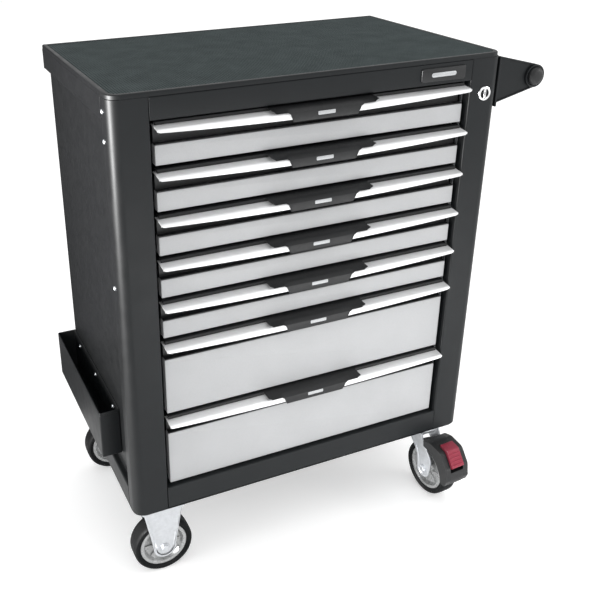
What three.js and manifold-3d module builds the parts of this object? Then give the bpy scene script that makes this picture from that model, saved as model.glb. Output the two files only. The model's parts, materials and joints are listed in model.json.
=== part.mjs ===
// A seven-drawer rolling tool chest: a sheet-steel cabinet on two fixed and two swivelling casters,
// with a push handle on its right side and an open tray on its left side.
// X runs to the right, the drawers open towards -Y and Z is up. Lengths are millimetres.
import * as THREE from "three";
import { mergeVertices } from "three/addons/utils/BufferGeometryUtils.js";
import Module from "manifold-3d";

const wasm = await Module();
wasm.setup();

// Cabinet
const WIDTH = 766;
const DEPTH = 460;
const TOP = 1008;
const CASTER_HEIGHT = 168;
const SHEET = 1.5;
const GAP = 0.3;
const CORNER_RADIUS = 25;
const POST_WIDTH = 68;
const POST_RETURN = 20;
const POST_SIDE = 42;
const SIDE_RECESS = 12;
const BASE_THICKNESS = 2;
const BOTTOM_RAIL = 47;
const TOP_RAIL = 48;
const COVER_HEIGHT = 8;
const COVER_RIM = 9;
const MAT_THICKNESS = 3.5;
const BEAM_DEPTH = 22;
const SILL_DEPTH = 60;
const REAR_FLANGE = 20;
const BACK_FOLD = 8;

// Drawers, from the top down, as multiples of the smallest one
const DRAWER_UNITS = [1, 1, 1, 1, 1, 2, 2];
const UNIT = 82;
const DRAWER_GAP = 5;
const FIRST_DRAWER = 50;
const FRONT_WIDTH = 612;
const FRONT_SETBACK = 8;
const FRONT_DEPTH = 16;
const BOX_WIDTH = 604;
const BOX_BACK = 424;
const BOX_SHEET = 1.2;
const RECESS_HEIGHT = 42;
const STRIP_WIDTH = 616;
const LIP_BELOW_TOP = { end: 16.5, middle: 25, behindGrip: 20 };
const LIP_NOTCH = 60;
const GRIP_TOP_WIDTH = 209;
const GRIP_FOOT_WIDTH = 138;

// Slides and lock
const RUNNER_THICKNESS = 6;
const RUNNER_HEIGHT = 26;
const CHANNEL_HEIGHT = 36;
const SLIDE_BELOW_TOP = 46;
const SLIDE_FRONT = 44;
const RACK_BACK = 450;
const RACK_FLANGE = 20;
const RACK_TOP_GAP = 4;
const CHANNEL_LIP = 11;
const LUG_BELOW_TOP = 16;
const LUG_HEIGHT = 8;
const LUG_Y = [38, 41];
const LUG_REACH = 10;
const HOOK_CLEARANCE = 2;
const HOOK_Y = [28, 34];
const HOOK_REACH = 11;
const LOCK_BAR_Y = [26, 34];
const LOCK_BAR_X = [3, 13];
const LOCK_INSET = 35;
const LOCK_BELOW_TOP = 75;
const LOCK_HOLE_RADIUS = 11.3;

// Handle, tray and badge
const BAR_RADIUS = 17.5;
const BAR_REACH = 101;
const BAR_BELOW_TOP = 60;
const BAR_END = 10;
const BRACKET_BELOW_TOP = [11, 107];
const BRACKET_Y = 25;
const TRAY_REACH = 30;
const TRAY_Y = [109, 457];
const TRAY_Z = [80, 186];
const BADGE_X = [202, 298];
const BADGE_BELOW_TOP = [16, 41];

// Casters
const WHEEL_RADIUS = 62.5;
const WHEEL_WIDTH = 40;
const RIM_RADIUS = 50;
const HUB_LENGTH = 42;
const AXLE_RADIUS = 6;
const AXLE_DROP = CASTER_HEIGHT - WHEEL_RADIUS;
const LEG_INSIDE = 22.5;
const LEG_THICKNESS = 3.5;
const FIXED_INSET = 60;
const SWIVEL_INSET = 58;
const FIXED_FOOT = 24;
const SWIVEL_FOOT = 20;
const FRONT_CASTER_Y = 36;
const FRONT_SWIVEL_Y = 48;
const REAR_CASTER_Y = 396;
const TRAIL = 44;
const SWIVEL_HEADING = -86;
const HOUSING_WIDTH = 62;
const PEDAL_WIDTH = 33;
const ROUND_STEPS = 32;

const paint = (color, roughness, metalness) =>
  new THREE.MeshStandardMaterial({ color, roughness, metalness });
const charcoal = paint(0x3b3e40, 0.45, 0.2);
const silverGrey = paint(0xc9cacb, 0.45, 0.3);
const aluminium = paint(0xe6e7e8, 0.3, 0.9);
const blackPlastic = paint(0x1c1d1e, 0.5, 0);
const matRubber = paint(0x2e3539, 0.85, 0);
const tyreRubber = paint(0x1f2123, 0.8, 0);
const wheelGrey = paint(0x8d9092, 0.5, 0);
const zinc = paint(0xc3c7cb, 0.35, 0.9);
const chrome = paint(0xd9dbdd, 0.12, 1);
const redPlastic = paint(0xb4283c, 0.45, 0);

// Box from its ranges along X, Y and Z.
function box(x, y, z) {
  const geometry = new THREE.BoxGeometry(x[1] - x[0], y[1] - y[0], z[1] - z[0]);
  return geometry.translate((x[0] + x[1]) / 2, (y[0] + y[1]) / 2, (z[0] + z[1]) / 2);
}

function extrude(points, depth) {
  const shape = new THREE.Shape(points.map(([u, v]) => new THREE.Vector2(u, v)));
  return new THREE.ExtrudeGeometry(shape, { depth, bevelEnabled: false });
}

// Outline in Y and Z drawn out along X.
function alongX(points, from, to) {
  const turn = new THREE.Matrix4().makeBasis(
    new THREE.Vector3(0, 1, 0),
    new THREE.Vector3(0, 0, 1),
    new THREE.Vector3(1, 0, 0),
  );
  return extrude(points, to - from).applyMatrix4(turn).translate(from, 0, 0);
}

// Outline in X and Z drawn out along Y.
function alongY(points, from, to) {
  return extrude(points, to - from).rotateX(Math.PI / 2).translate(0, to, 0);
}

// Outline in X and Y drawn out along Z.
function alongZ(points, from, to) {
  return extrude(points, to - from).translate(0, 0, from);
}

// Points of an arc, angles in degrees.
function arc(x, y, radius, from, to, steps) {
  return Array.from({ length: steps + 1 }, (_, i) => {
    const angle = THREE.MathUtils.degToRad(from + ((to - from) * i) / steps);
    return [x + radius * Math.cos(angle), y + radius * Math.sin(angle)];
  });
}

// Profile of [radius, height] points turned about Y, and the same about Z.
function turnedAboutY(profile) {
  const points = profile.map(([radius, height]) => new THREE.Vector2(radius, height));
  return new THREE.LatheGeometry(points, ROUND_STEPS);
}

function turnedAboutZ(profile) {
  return turnedAboutY(profile).rotateX(Math.PI / 2);
}

function solid(geometry) {
  const plain = geometry.clone();
  plain.deleteAttribute("normal");
  plain.deleteAttribute("uv");
  const merged = mergeVertices(plain, 1e-4);
  const vertProperties = merged.attributes.position.array;
  const triVerts = new Uint32Array(merged.index.array);
  return new wasm.Manifold(new wasm.Mesh({ numProp: 3, vertProperties, triVerts }));
}

function shown(manifold) {
  const { vertProperties, triVerts } = manifold.getMesh();
  const geometry = new THREE.BufferGeometry();
  geometry.setAttribute("position", new THREE.BufferAttribute(vertProperties, 3));
  geometry.setIndex(new THREE.BufferAttribute(triVerts, 1));
  geometry.computeVertexNormals();
  return geometry;
}

function join(...pieces) {
  return shown(pieces.map(solid).reduce((whole, piece) => whole.add(piece)));
}

function cut(body, ...tools) {
  return shown(tools.map(solid).reduce((rest, tool) => rest.subtract(tool), solid(body)));
}

function common(first, second) {
  return shown(solid(first).intersect(solid(second)));
}

function add(parent, name, geometry, material) {
  const mesh = new THREE.Mesh(geometry, material);
  mesh.name = name;
  parent.add(mesh);
  return mesh;
}

// X range that starts and ends the given distances in from the left (-1) or right (1) side.
function inFrom(side, from, to) {
  const ends = [side * (WIDTH / 2 - from), side * (WIDTH / 2 - to)];
  return ends.sort((a, b) => a - b);
}

// Footprint of the cabinet, drawn in by an inset, with its two round front corners.
function footprint(inset) {
  const x = WIDTH / 2 - inset;
  const radius = Math.max(CORNER_RADIUS - inset, 2);
  return [
    ...arc(-x + radius, inset + radius, radius, 180, 270, 8),
    ...arc(x - radius, inset + radius, radius, 270, 360, 8),
    [x, DEPTH - inset],
    [-x, DEPTH - inset],
  ];
}

const FLOOR = CASTER_HEIGHT + BASE_THICKNESS + GAP;
const COVER_BOTTOM = TOP - COVER_HEIGHT;
const FRAME_TOP = COVER_BOTTOM - GAP;
const OPENING = WIDTH / 2 - POST_WIDTH;

const chest = new THREE.Group();

function buildTop(parent) {
  const deckTop = TOP - MAT_THICKNESS - 1;
  const cover = cut(
    alongZ(footprint(0), COVER_BOTTOM, TOP),
    alongZ(footprint(COVER_RIM), deckTop, TOP + 1),
    alongZ(footprint(SHEET), COVER_BOTTOM - 1, deckTop - SHEET),
  );
  add(parent, "top_cover", cover, charcoal);
  const mat = alongZ(footprint(COVER_RIM + GAP), deckTop + GAP, deckTop + GAP + MAT_THICKNESS);
  add(parent, "worktop_mat", mat, matRubber);
}

// Folded corner post: a round front corner with a return at each end.
function post(side) {
  const across = (points) => points.map(([d, y]) => [side * (WIDTH / 2 - d), y]);
  const outside = [
    [SIDE_RECESS, POST_SIDE],
    [0, POST_SIDE],
    ...arc(CORNER_RADIUS, CORNER_RADIUS, CORNER_RADIUS, 180, 270, 8),
    [POST_WIDTH, 0],
    [POST_WIDTH, POST_RETURN],
  ];
  const inside = [
    [POST_WIDTH - SHEET, POST_RETURN],
    [POST_WIDTH - SHEET, SHEET],
    ...arc(CORNER_RADIUS, CORNER_RADIUS, CORNER_RADIUS - SHEET, 270, 180, 8),
    [SHEET, POST_SIDE - SHEET],
    [SIDE_RECESS, POST_SIDE - SHEET],
  ];
  return alongZ(across([...outside, ...inside]), FLOOR, FRAME_TOP);
}

// Side panel: a recessed sheet between a bottom rail and a top rail that stand out to the full width.
function sidePanel(side) {
  const y = [POST_SIDE + GAP, DEPTH];
  const sheet = inFrom(side, SIDE_RECESS, SIDE_RECESS + SHEET);
  const face = inFrom(side, 0, SHEET);
  const web = inFrom(side, 0, SIDE_RECESS + SHEET);
  const railTop = CASTER_HEIGHT + BOTTOM_RAIL;
  const railBottom = TOP - TOP_RAIL;
  const rearEnd = [DEPTH - SHEET, DEPTH];
  return join(
    box(sheet, y, [FLOOR, FRAME_TOP]),
    box(face, y, [FLOOR, railTop]),
    box(web, y, [railTop - SHEET, railTop]),
    box(web, rearEnd, [FLOOR, railTop]),
    box(face, y, [railBottom, FRAME_TOP]),
    box(web, y, [railBottom, railBottom + SHEET]),
    box(web, rearEnd, [railBottom, FRAME_TOP]),
    box(inFrom(side, SIDE_RECESS, SIDE_RECESS + REAR_FLANGE), rearEnd, [FLOOR, FRAME_TOP]),
  );
}

// Cross beam between the posts, an open channel that faces the back.
function beam(bottom, top, topDepth) {
  const x = [-OPENING + GAP, OPENING - GAP];
  return join(
    box(x, [0, SHEET], [bottom, top]),
    box(x, [0, topDepth], [top - SHEET, top]),
    box(x, [0, BEAM_DEPTH], [bottom, bottom + SHEET]),
  );
}

function buildCabinet(parent) {
  const base = alongZ(footprint(0), CASTER_HEIGHT, CASTER_HEIGHT + BASE_THICKNESS);
  add(parent, "base_pan", base, charcoal);
  add(parent, "front_left_post", post(-1), charcoal);
  const lockHole = turnedAboutY([[0, -5], [LOCK_HOLE_RADIUS, -5], [LOCK_HOLE_RADIUS, 5], [0, 5]]);
  lockHole.translate(WIDTH / 2 - LOCK_INSET, 0, TOP - LOCK_BELOW_TOP);
  add(parent, "front_right_post", cut(post(1), lockHole), charcoal);
  add(parent, "left_side_panel", sidePanel(-1), charcoal);
  add(parent, "right_side_panel", sidePanel(1), charcoal);
  const backEdge = WIDTH / 2 - SIDE_RECESS - REAR_FLANGE - GAP;
  const back = join(
    box([-backEdge, backEdge], [DEPTH - SHEET, DEPTH], [FLOOR, FRAME_TOP]),
    box([-backEdge, -backEdge + SHEET], [DEPTH - BACK_FOLD, DEPTH], [FLOOR, FRAME_TOP]),
    box([backEdge - SHEET, backEdge], [DEPTH - BACK_FOLD, DEPTH], [FLOOR, FRAME_TOP]),
  );
  add(parent, "back_panel", back, charcoal);
  add(parent, "front_header", beam(TOP - TOP_RAIL, FRAME_TOP, BEAM_DEPTH), charcoal);
  const drawersEnd = TOP - FIRST_DRAWER + DRAWER_GAP - UNIT * DRAWER_UNITS.reduce((a, b) => a + b);
  add(parent, "front_sill", beam(FLOOR, drawersEnd - DRAWER_GAP, SILL_DEPTH), charcoal);
  const badge = box(BADGE_X, [-2.8, -GAP], BADGE_BELOW_TOP.map((below) => TOP - below).reverse());
  add(parent, "name_badge", badge, blackPlastic);
}

// Rack of seven fixed slide channels on one upright plate.
function slideRack(side, slideHeights) {
  const inner = (from, to) => inFrom(side, POST_WIDTH - to, POST_WIDTH - from);
  const y = [SLIDE_FRONT, RACK_BACK];
  const half = CHANNEL_HEIGHT / 2;
  const channels = slideHeights.flatMap((z) => [
    box(inner(-SHEET, SHEET), y, [z - half, z + half]),
    box(inner(-CHANNEL_LIP, SHEET), y, [z + half - SHEET, z + half]),
    box(inner(-CHANNEL_LIP, SHEET), y, [z - half, z - half + SHEET]),
  ]);
  return join(
    box(inner(0, SHEET), y, [FLOOR, FRAME_TOP - RACK_TOP_GAP]),
    box(inner(0, RACK_FLANGE), [RACK_BACK - SHEET, RACK_BACK], [FLOOR, FRAME_TOP - RACK_TOP_GAP]),
    ...channels,
  );
}

// Aluminium pull strip, seen from its end: a plate that ends in a down-turned lip.
const STRIP = [
  [20.1, -7.2],
  [8, -7.3],
  [-10, -9.3],
  [-12.6, -10.6],
  [-13.8, -13],
  [-14.2, -27],
  [-13, -27],
  [-12.6, -13.4],
  [-11.4, -11.6],
  [8, -9.3],
  [20.1, -9.2],
];
// Room for the strip inside the grip, a gap wider all round.
const STRIP_SLOT = [
  [21, -6.9],
  [8, -7],
  [-10.1, -9],
  [-12.9, -10.3],
  [-14.2, -12.9],
  [-14.6, -28],
  [-12.6, -28],
  [-12.2, -13.6],
  [-11.1, -12],
  [8, -9.6],
  [21, -9.5],
];

// The strip from the front: its lip bows down towards the middle and is notched behind the grip.
function stripFront(grow) {
  const half = STRIP_WIDTH / 2 + grow;
  const { end, middle, behindGrip } = LIP_BELOW_TOP;
  const steps = 10;
  const bow = Array.from({ length: steps + 1 }, (_, i) => {
    const x = half - 5 + ((LIP_NOTCH - half + 5) * i) / steps;
    return [x, -middle + (middle - end) * (x / half) ** 2 - grow];
  });
  const right = [
    [half, 0],
    [half, -end + 4],
    [half - 1.5, -end + 1],
    ...bow,
    [LIP_NOTCH, -behindGrip - grow],
  ];
  const left = right.map(([x, z]) => [-x, z]).reverse();
  return [...right, ...left];
}

function pullStrip(profile, grow) {
  const half = STRIP_WIDTH / 2 + grow;
  return common(alongX(profile, -half, half), alongY(stripFront(grow), -20, 30));
}

// Black liner of the finger recess, an open channel that faces the front.
const LINER = [
  [22.2, -1],
  [6, -1],
  [6, -6.9],
  [7.8, -6.9],
  [7.8, -2.8],
  [20.4, -2.8],
  [20.4, -RECESS_HEIGHT + 2.1],
  [8.5, -RECESS_HEIGHT + 2.1],
  [8.5, -RECESS_HEIGHT + GAP],
  [22.2, -RECESS_HEIGHT + GAP],
];
// Grip at the middle of the strip, from its end and from the front.
const GRIP_SIDE = [
  [7, -1],
  [-3, -2.6],
  [-11, -6],
  [-16, -11],
  [-17, -23],
  [-15.8, -26.4],
  [-12.6, -27],
  [-10.6, -25.4],
  [-10.2, -15],
  [-8, -12.6],
  [7, -11],
];
const GRIP_FRONT = [
  [GRIP_TOP_WIDTH / 2, -0.5],
  [GRIP_TOP_WIDTH / 2 - 5, -6],
  [GRIP_TOP_WIDTH / 2 - 8, -8.6],
  [GRIP_FOOT_WIDTH / 2 + 6, -8.6],
  [GRIP_FOOT_WIDTH / 2, -13],
  [GRIP_FOOT_WIDTH / 2 - 6, -28],
];

function buildDrawer(parent, index, units, top) {
  const group = new THREE.Group();
  group.position.z = top;
  parent.add(group);
  const name = `drawer_${index + 1}`;
  const frontHeight = UNIT * units - DRAWER_GAP;
  const half = FRONT_WIDTH / 2;
  const side = BOX_WIDTH / 2;
  const inner = FRONT_SETBACK + FRONT_DEPTH;
  const front = [
    [FRONT_SETBACK, -frontHeight],
    [inner, -frontHeight],
    [inner, -5],
    [inner - SHEET, -5],
    [inner - SHEET, -RECESS_HEIGHT],
    [FRONT_SETBACK, -RECESS_HEIGHT],
  ];
  const frontHollow = [
    [FRONT_SETBACK + SHEET, -frontHeight + SHEET],
    [inner - SHEET, -frontHeight + SHEET],
    [inner - SHEET, -RECESS_HEIGHT - SHEET],
    [FRONT_SETBACK + SHEET, -RECESS_HEIGHT - SHEET],
  ];
  const boxTop = -9;
  const boxFloor = -frontHeight + 4;
  const boxY = [inner - SHEET, BOX_BACK];
  const boxZ = [boxFloor, boxTop];
  const slideZ = -SLIDE_BELOW_TOP;
  const runnerZ = [slideZ - RUNNER_HEIGHT / 2, slideZ + RUNNER_HEIGHT / 2];
  const runnerY = [SLIDE_FRONT, BOX_BACK - 2];
  const tray = join(
    cut(alongX(front, -half, half), alongX(frontHollow, -half - 1, half + 1)),
    box([-side, side], boxY, [boxFloor, boxFloor + BOX_SHEET]),
    box([-side, side], [BOX_BACK - BOX_SHEET, BOX_BACK], boxZ),
    box([-side, -side + BOX_SHEET], boxY, boxZ),
    box([side - BOX_SHEET, side], boxY, boxZ),
    box([-side - RUNNER_THICKNESS, -side + BOX_SHEET], runnerY, runnerZ),
    box([side - BOX_SHEET, side + RUNNER_THICKNESS], runnerY, runnerZ),
    box([side - BOX_SHEET, side + LUG_REACH], LUG_Y, [-LUG_BELOW_TOP, -LUG_BELOW_TOP + LUG_HEIGHT]),
  );
  add(group, `${name}_tray`, tray, silverGrey);
  add(group, `${name}_handle`, pullStrip(STRIP, 0), aluminium);
  const left = GRIP_FRONT.map(([x, z]) => [-x, z]).reverse();
  const paddle = common(
    alongX(GRIP_SIDE, -GRIP_TOP_WIDTH, GRIP_TOP_WIDTH),
    alongY([...GRIP_FRONT, ...left], -30, 30),
  );
  const liner = join(alongX(LINER, -half + 1, half - 1), paddle);
  add(group, `${name}_grip`, cut(liner, pullStrip(STRIP_SLOT, GAP + 0.1)), blackPlastic);
}

// Drawers, slide racks and the bar that locks all the drawers together.
function buildDrawers(parent) {
  let top = TOP - FIRST_DRAWER;
  const tops = DRAWER_UNITS.map((units) => {
    const here = top;
    top -= UNIT * units;
    return here;
  });
  DRAWER_UNITS.forEach((units, index) => buildDrawer(parent, index, units, tops[index]));
  const slideHeights = tops.map((z) => z - SLIDE_BELOW_TOP);
  add(parent, "left_slide_rack", slideRack(-1, slideHeights), zinc);
  add(parent, "right_slide_rack", slideRack(1, slideHeights), zinc);
  const hookTop = -LUG_BELOW_TOP - HOOK_CLEARANCE;
  const hooks = tops.map((z) =>
    box([OPENING - HOOK_REACH, OPENING + LOCK_BAR_X[0] + 2], HOOK_Y, [
      z + hookTop - LUG_HEIGHT,
      z + hookTop,
    ]),
  );
  const barX = LOCK_BAR_X.map((beyond) => OPENING + beyond);
  const bar = box(barX, LOCK_BAR_Y, [FLOOR + 10, FRAME_TOP - 20]);
  add(parent, "lock_bar", join(bar, ...hooks), zinc);
}

function buildLock(parent) {
  const lock = new THREE.Group();
  lock.position.set(WIDTH / 2 - LOCK_INSET, 0, TOP - LOCK_BELOW_TOP);
  parent.add(lock);
  const housing = [[9.3, -3], [12.5, -3.6], [14, -GAP], [11, -GAP], [11, 16], [9.3, 16], [9.3, -3]];
  add(lock, "lock_housing", turnedAboutY(housing), chrome);
  const plug = turnedAboutY([[0, -3.4], [8, -3.4], [9, -2.6], [9, 20.5], [0, 20.5]]);
  const keyway = box([-4, 4], [-5, 2], [-0.8, 0.8]);
  const cam = box([-4, 4], [20, 23], [-18, 6]);
  add(lock, "lock_cylinder", join(cut(plug, keyway), cam), chrome);
}

// Handle bracket: a plate that tapers from the cabinet side to a collar round the bar.
function handleBracket(y, direction, spacer) {
  const root = WIDTH / 2 + GAP;
  const barX = WIDTH / 2 + BAR_REACH;
  const barZ = TOP - BAR_BELOW_TOP;
  const [high, low] = BRACKET_BELOW_TOP.map((below) => TOP - below);
  const collar = BAR_RADIUS + 5;
  const outline = [[root, low], ...arc(barX, barZ, collar, -76, 72, 14), [root, high]];
  const ring = turnedAboutY([[0, -8], [collar, -8], [collar, 8], [0, 8]]).translate(barX, y, barZ);
  const bore = turnedAboutY([[0, -20], [BAR_RADIUS + GAP, -20], [BAR_RADIUS + GAP, 20], [0, 20]]);
  const flangeY = [y - 3 * direction, y + 18 * direction].sort((a, b) => a - b);
  const pieces = [
    alongY(outline, y - 3, y + 3),
    ring,
    box([root, root + 4], flangeY, [low, high]),
  ];
  if (spacer) {
    pieces.push(box([root - SIDE_RECESS, root + 4], flangeY, [low, TOP - TOP_RAIL - 2]));
  }
  return cut(join(...pieces), bore.translate(barX, y, barZ));
}

function buildHandle(parent) {
  add(parent, "handle_bracket_front", handleBracket(BRACKET_Y, -1, false), charcoal);
  add(parent, "handle_bracket_rear", handleBracket(DEPTH - BRACKET_Y, 1, true), charcoal);
  const length = DEPTH - 2 * BAR_END;
  const profile = [[0, 0], [13, 0], [16, 1.5], [BAR_RADIUS, 4.5]];
  const farEnd = profile.map(([radius, y]) => [radius, length - y]).reverse();
  const bar = turnedAboutY([...profile, ...farEnd]);
  bar.translate(WIDTH / 2 + BAR_REACH, BAR_END, TOP - BAR_BELOW_TOP);
  add(parent, "push_bar", bar, blackPlastic);
}

function buildSideTray(parent) {
  const x = [-WIDTH / 2 - TRAY_REACH, -WIDTH / 2 + SIDE_RECESS - GAP];
  const z = TRAY_Z.map((height) => CASTER_HEIGHT + height);
  const inside = box(
    [x[0] + SHEET, x[1] - SHEET],
    [TRAY_Y[0] + SHEET, TRAY_Y[1] - SHEET],
    [z[0] + SHEET, z[1] + 1],
  );
  add(parent, "side_tray", cut(box(x, TRAY_Y, z), inside), charcoal);
}

// Wheel about its axle along Y: a rubber tyre on a grey plastic rim.
function buildWheel(parent, name) {
  const half = WHEEL_WIDTH / 2;
  const shoulder = WHEEL_RADIUS - 1.5;
  const wall = WHEEL_RADIUS - 5;
  const tyre = [
    [RIM_RADIUS, -half + 2],
    [wall, -half],
    [shoulder, -half + 2.5],
    [WHEEL_RADIUS, -half + 7],
    [WHEEL_RADIUS, half - 7],
    [shoulder, half - 2.5],
    [wall, half],
    [RIM_RADIUS, half - 2],
    [RIM_RADIUS, -half + 2],
  ];
  add(parent, `${name}_tyre`, turnedAboutY(tyre), tyreRubber);
  const bore = AXLE_RADIUS + GAP;
  const edge = RIM_RADIUS - GAP;
  const hub = HUB_LENGTH / 2;
  const rimHalf = half - 3;
  const web = 7;
  const rim = [
    [bore, -hub],
    [13, -hub],
    [14, -web],
    [edge - 9, -web],
    [edge - 6, -rimHalf],
    [edge, -rimHalf],
    [edge, rimHalf],
    [edge - 6, rimHalf],
    [edge - 9, web],
    [14, web],
    [13, hub],
    [bore, hub],
    [bore, -hub],
  ];
  add(parent, `${name}_rim`, turnedAboutY(rim), wheelGrey);
}

function axle(x) {
  const reach = LEG_INSIDE + LEG_THICKNESS + 5;
  const nut = LEG_INSIDE + LEG_THICKNESS - 0.5;
  const profile = [
    [0, -reach],
    [9, -reach],
    [9, -nut],
    [AXLE_RADIUS, -nut],
    [AXLE_RADIUS, nut],
    [9, nut],
    [9, reach],
    [0, reach],
  ];
  return turnedAboutY(profile).translate(x, 0, -AXLE_DROP);
}

// The two legs that hold an axle at the given X, from a top edge to a round foot.
function legs(top, topEnds, axleX, foot) {
  const waist = foot + 5;
  const waistZ = -AXLE_DROP + 34;
  const lean = axleX / 4;
  const outline = [
    [topEnds[0], top],
    [topEnds[0] + 5, top - 14],
    [axleX - waist, waistZ],
    ...arc(axleX, -AXLE_DROP, foot, 170, 370, 14),
    [axleX + waist, waistZ],
    [topEnds[1] - 5 + lean, top - 14],
    [topEnds[1], top],
  ];
  const outside = LEG_INSIDE + LEG_THICKNESS;
  return [alongY(outline, -outside, -LEG_INSIDE), alongY(outline, LEG_INSIDE, outside)];
}

function buildFixedCaster(parent, name, y) {
  const caster = new THREE.Group();
  caster.position.set(-WIDTH / 2 + FIXED_INSET, y, CASTER_HEIGHT);
  parent.add(caster);
  const plate = box([-46, 46], [-34, 34], [-3.5, -GAP]);
  const bracket = join(plate, ...legs(-3, [-44, 44], 0, FIXED_FOOT), axle(0));
  add(caster, `${name}_bracket`, bracket, zinc);
  const wheel = new THREE.Group();
  wheel.position.z = -AXLE_DROP;
  caster.add(wheel);
  buildWheel(wheel, name);
}

// Brake housing round the trailing side of the wheel, from its side; the wheel's centre is the origin.
const HOUSING = [
  [-2, 79.5],
  [20, 86],
  [56, 81],
  [79, 51],
  [84, 22],
  [78, 7],
  [64.6, 7],
  ...arc(0, 0, 65, 8, 90, 9),
];
const PEDAL_POCKET = [
  [35, 75],
  [50, 64.5],
  [62, 50],
  [66, 40],
  [110, 40],
  [110, 110],
  [35, 110],
];
const PEDAL = [
  [37, 89],
  [60, 86],
  [84, 54],
  [79, 49],
  [57, 77],
  [38, 81],
];

function buildSwivelCaster(parent, name, y) {
  const mount = new THREE.Group();
  mount.position.set(WIDTH / 2 - SWIVEL_INSET, y, CASTER_HEIGHT);
  parent.add(mount);
  const race = turnedAboutZ([[0, -14], [27, -14], [32, -9], [32, -3], [0, -3]]);
  const plate = join(box([-46, 46], [-40, 40], [-3.5, -GAP]), race);
  add(mount, `${name}_top_plate`, plate, zinc);
  const fork = new THREE.Group();
  fork.rotation.z = THREE.MathUtils.degToRad(SWIVEL_HEADING);
  mount.add(fork);
  const crown = turnedAboutZ([[0, -24], [31, -24], [31, -17], [27, -14.5], [0, -14.5]]);
  const yokeX = [-24, 28];
  const outside = LEG_INSIDE + LEG_THICKNESS;
  const yoke = box(yokeX, [-outside, outside], [-24, -19]);
  const forkLegs = legs(-19, yokeX, TRAIL, SWIVEL_FOOT);
  add(fork, `${name}_fork`, join(crown, yoke, ...forkLegs, axle(TRAIL)), zinc);
  const wheel = new THREE.Group();
  wheel.position.set(TRAIL, 0, -AXLE_DROP);
  fork.add(wheel);
  buildWheel(wheel, name);
  const shell = alongY(HOUSING, -HOUSING_WIDTH / 2, HOUSING_WIDTH / 2);
  const pocketHalf = PEDAL_WIDTH / 2 + 1;
  const housing = cut(shell, alongY(PEDAL_POCKET, -pocketHalf, pocketHalf));
  add(wheel, `${name}_brake_housing`, housing, blackPlastic);
  add(wheel, `${name}_brake_pedal`, alongY(PEDAL, -PEDAL_WIDTH / 2, PEDAL_WIDTH / 2), redPlastic);
}

buildTop(chest);
buildCabinet(chest);
buildDrawers(chest);
buildLock(chest);
buildHandle(chest);
buildSideTray(chest);
buildFixedCaster(chest, "front_left_caster", FRONT_CASTER_Y);
buildFixedCaster(chest, "rear_left_caster", REAR_CASTER_Y);
buildSwivelCaster(chest, "front_right_caster", FRONT_SWIVEL_Y);
buildSwivelCaster(chest, "rear_right_caster", REAR_CASTER_Y);

// The origin is on the floor under the middle of the chest's bounding box.
const bounds = new THREE.Box3().setFromObject(chest, true);
const middle = bounds.getCenter(new THREE.Vector3());
chest.position.set(-middle.x, -middle.y, -bounds.min.z);

export default chest;
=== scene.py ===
import json
import math

import bmesh
import bpy
from mathutils import Matrix, Vector


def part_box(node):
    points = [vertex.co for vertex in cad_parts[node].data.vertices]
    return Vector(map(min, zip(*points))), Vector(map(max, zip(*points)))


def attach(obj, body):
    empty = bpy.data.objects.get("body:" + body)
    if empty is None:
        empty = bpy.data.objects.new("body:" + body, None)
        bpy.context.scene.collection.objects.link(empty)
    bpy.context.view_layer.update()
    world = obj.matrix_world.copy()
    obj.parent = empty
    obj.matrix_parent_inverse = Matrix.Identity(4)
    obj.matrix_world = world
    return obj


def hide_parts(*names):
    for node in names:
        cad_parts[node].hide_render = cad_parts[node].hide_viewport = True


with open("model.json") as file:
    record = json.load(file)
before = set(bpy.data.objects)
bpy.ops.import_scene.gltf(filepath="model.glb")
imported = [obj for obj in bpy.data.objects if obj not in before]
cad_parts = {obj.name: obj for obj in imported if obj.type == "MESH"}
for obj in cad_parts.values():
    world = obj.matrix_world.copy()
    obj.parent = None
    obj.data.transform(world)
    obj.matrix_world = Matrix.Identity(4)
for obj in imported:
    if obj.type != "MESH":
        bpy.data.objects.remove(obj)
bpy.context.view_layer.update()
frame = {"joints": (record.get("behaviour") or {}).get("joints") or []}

# ---------------------------------------------------------------- frame
# Pieces are drawn in millimetres from the cabinet's own origin: X from its middle, Y from its front
# plane, Z from the floor. CABINET turns those into the frame's metres.
MM = 0.001
SCALE = Matrix.Diagonal((MM, MM, MM, 1))
cover_low, cover_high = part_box("top_cover")
ORIGIN = Vector(((cover_low.x + cover_high.x) / 2, cover_low.y, 0))
CABINET = Matrix.Translation(ORIGIN) @ SCALE


def extent(node):
    """A CAD node's ranges along X, Y and Z, in cabinet millimetres."""
    low, high = (CABINET.inverted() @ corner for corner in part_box(node))
    return [(low[i], high[i]) for i in range(3)]


(LEFT, RIGHT), (_, DEPTH), (COVER_BOTTOM, TOP) = extent("top_cover")
WIDTH = RIGHT - LEFT
FLOOR, FRAME_TOP = extent("front_left_post")[2]
BASE_BOTTOM = extent("base_pan")[2][0]
SHEET = 1.5
CORNER_RADIUS = 25
BEND = 2.2
SIDE_RECESS = 12
REAR_RETURN = 32
POST_WIDTH = 68
POST_SIDE = 42
BOTTOM_RAIL = 47
TOP_RAIL = 48


# ---------------------------------------------------------------- outlines
def arc(x, y, radius, start, end, steps=8):
    """Points of an arc; angles in degrees."""
    angles = [math.radians(start + (end - start) * i / steps) for i in range(steps + 1)]
    return [(x + radius * math.cos(a), y + radius * math.sin(a)) for a in angles]


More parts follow.
